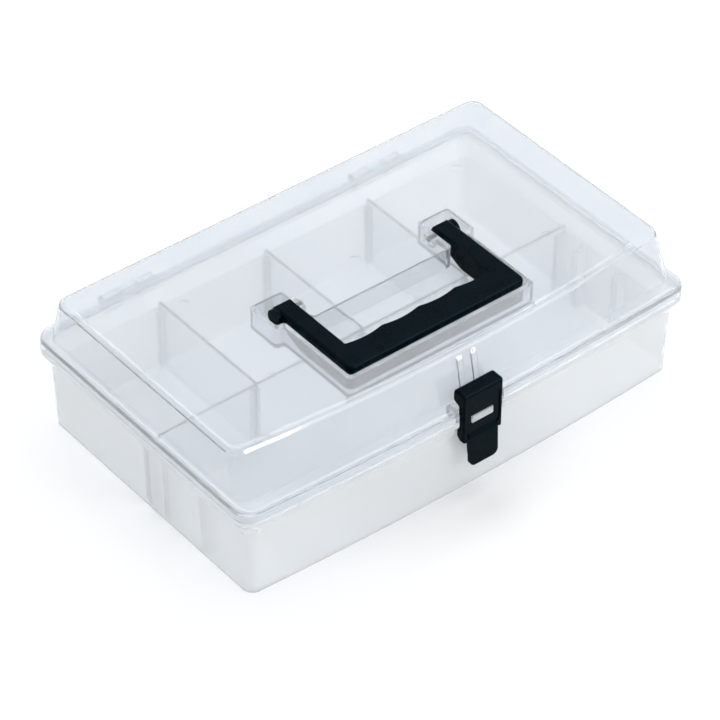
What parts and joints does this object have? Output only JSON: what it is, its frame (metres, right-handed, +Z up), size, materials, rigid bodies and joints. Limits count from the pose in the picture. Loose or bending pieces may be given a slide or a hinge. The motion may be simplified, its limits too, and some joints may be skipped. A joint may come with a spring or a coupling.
{
  "type": "hinged-lid storage case",
  "caption": "Clear plastic carrying case for small parts, with a hinged domed lid, a fold-down handle sunk in the lid, a front latch and lift-out dividers.",
  "frame": {"origin": "middle of the underside of the base tray, on the surface that the case stands on", "axes": "+X along the case to the right as seen from the latch side, +Y from the latch to the hinges, +Z up"},
  "size_m": [0.3332, 0.2234, 0.102],
  "materials": {
    "clear_plastic": "clear moulded plastic with a slight blue haze",
    "clear_divider": "clear moulded plastic sheet",
    "black_plastic": "black moulded plastic, satin",
    "pin_steel": "plain drawn steel"
  },
  "bodies": {
    "base": {"base_tray": "clear_plastic", "hinge_pin_left": "pin_steel", "hinge_pin_right": "pin_steel"},
    "lid": {"lid_shell": "clear_plastic"},
    "handle": {"handle": "black_plastic"},
    "latch": {"latch": "black_plastic"},
    "long_divider": {"long_divider": "clear_divider"},
    "divider_left": {"divider_left": "clear_divider"},
    "divider_middle": {"divider_middle": "clear_divider"},
    "divider_right": {"divider_right": "clear_divider"}
  },
  "joints": [
    {"name": "lid_hinge", "type": "hinge", "parent": "base", "child": "lid", "pos_m": [0, 0.1076, 0.061], "axis": [-1, 0, 0], "range_deg": [0, 110]},
    {"name": "handle_pivot", "type": "hinge", "parent": "lid", "child": "handle", "pos_m": [0, -0.0015, 0.096], "axis": [-1, 0, 0], "range_deg": [0, 90]},
    {"name": "latch_pivot", "type": "hinge", "parent": "lid", "child": "latch", "pos_m": [0, -0.1039, 0.075], "axis": [-1, 0, 0], "range_deg": [0, 90]},
    {"name": "long_divider_lift", "type": "slide", "parent": "base", "child": "long_divider", "axis": [0, 0, 1], "range_m": [0, 0.015]},
    {"name": "divider_left_lift", "type": "slide", "parent": "base", "child": "divider_left", "axis": [0, 0, 1], "range_m": [0, 0.015]},
    {"name": "divider_middle_lift", "type": "slide", "parent": "base", "child": "divider_middle", "axis": [0, 0, 1], "range_m": [0, 0.015]},
    {"name": "divider_right_lift", "type": "slide", "parent": "base", "child": "divider_right", "axis": [0, 0, 1], "range_m": [0, 0.015]}
  ]
}
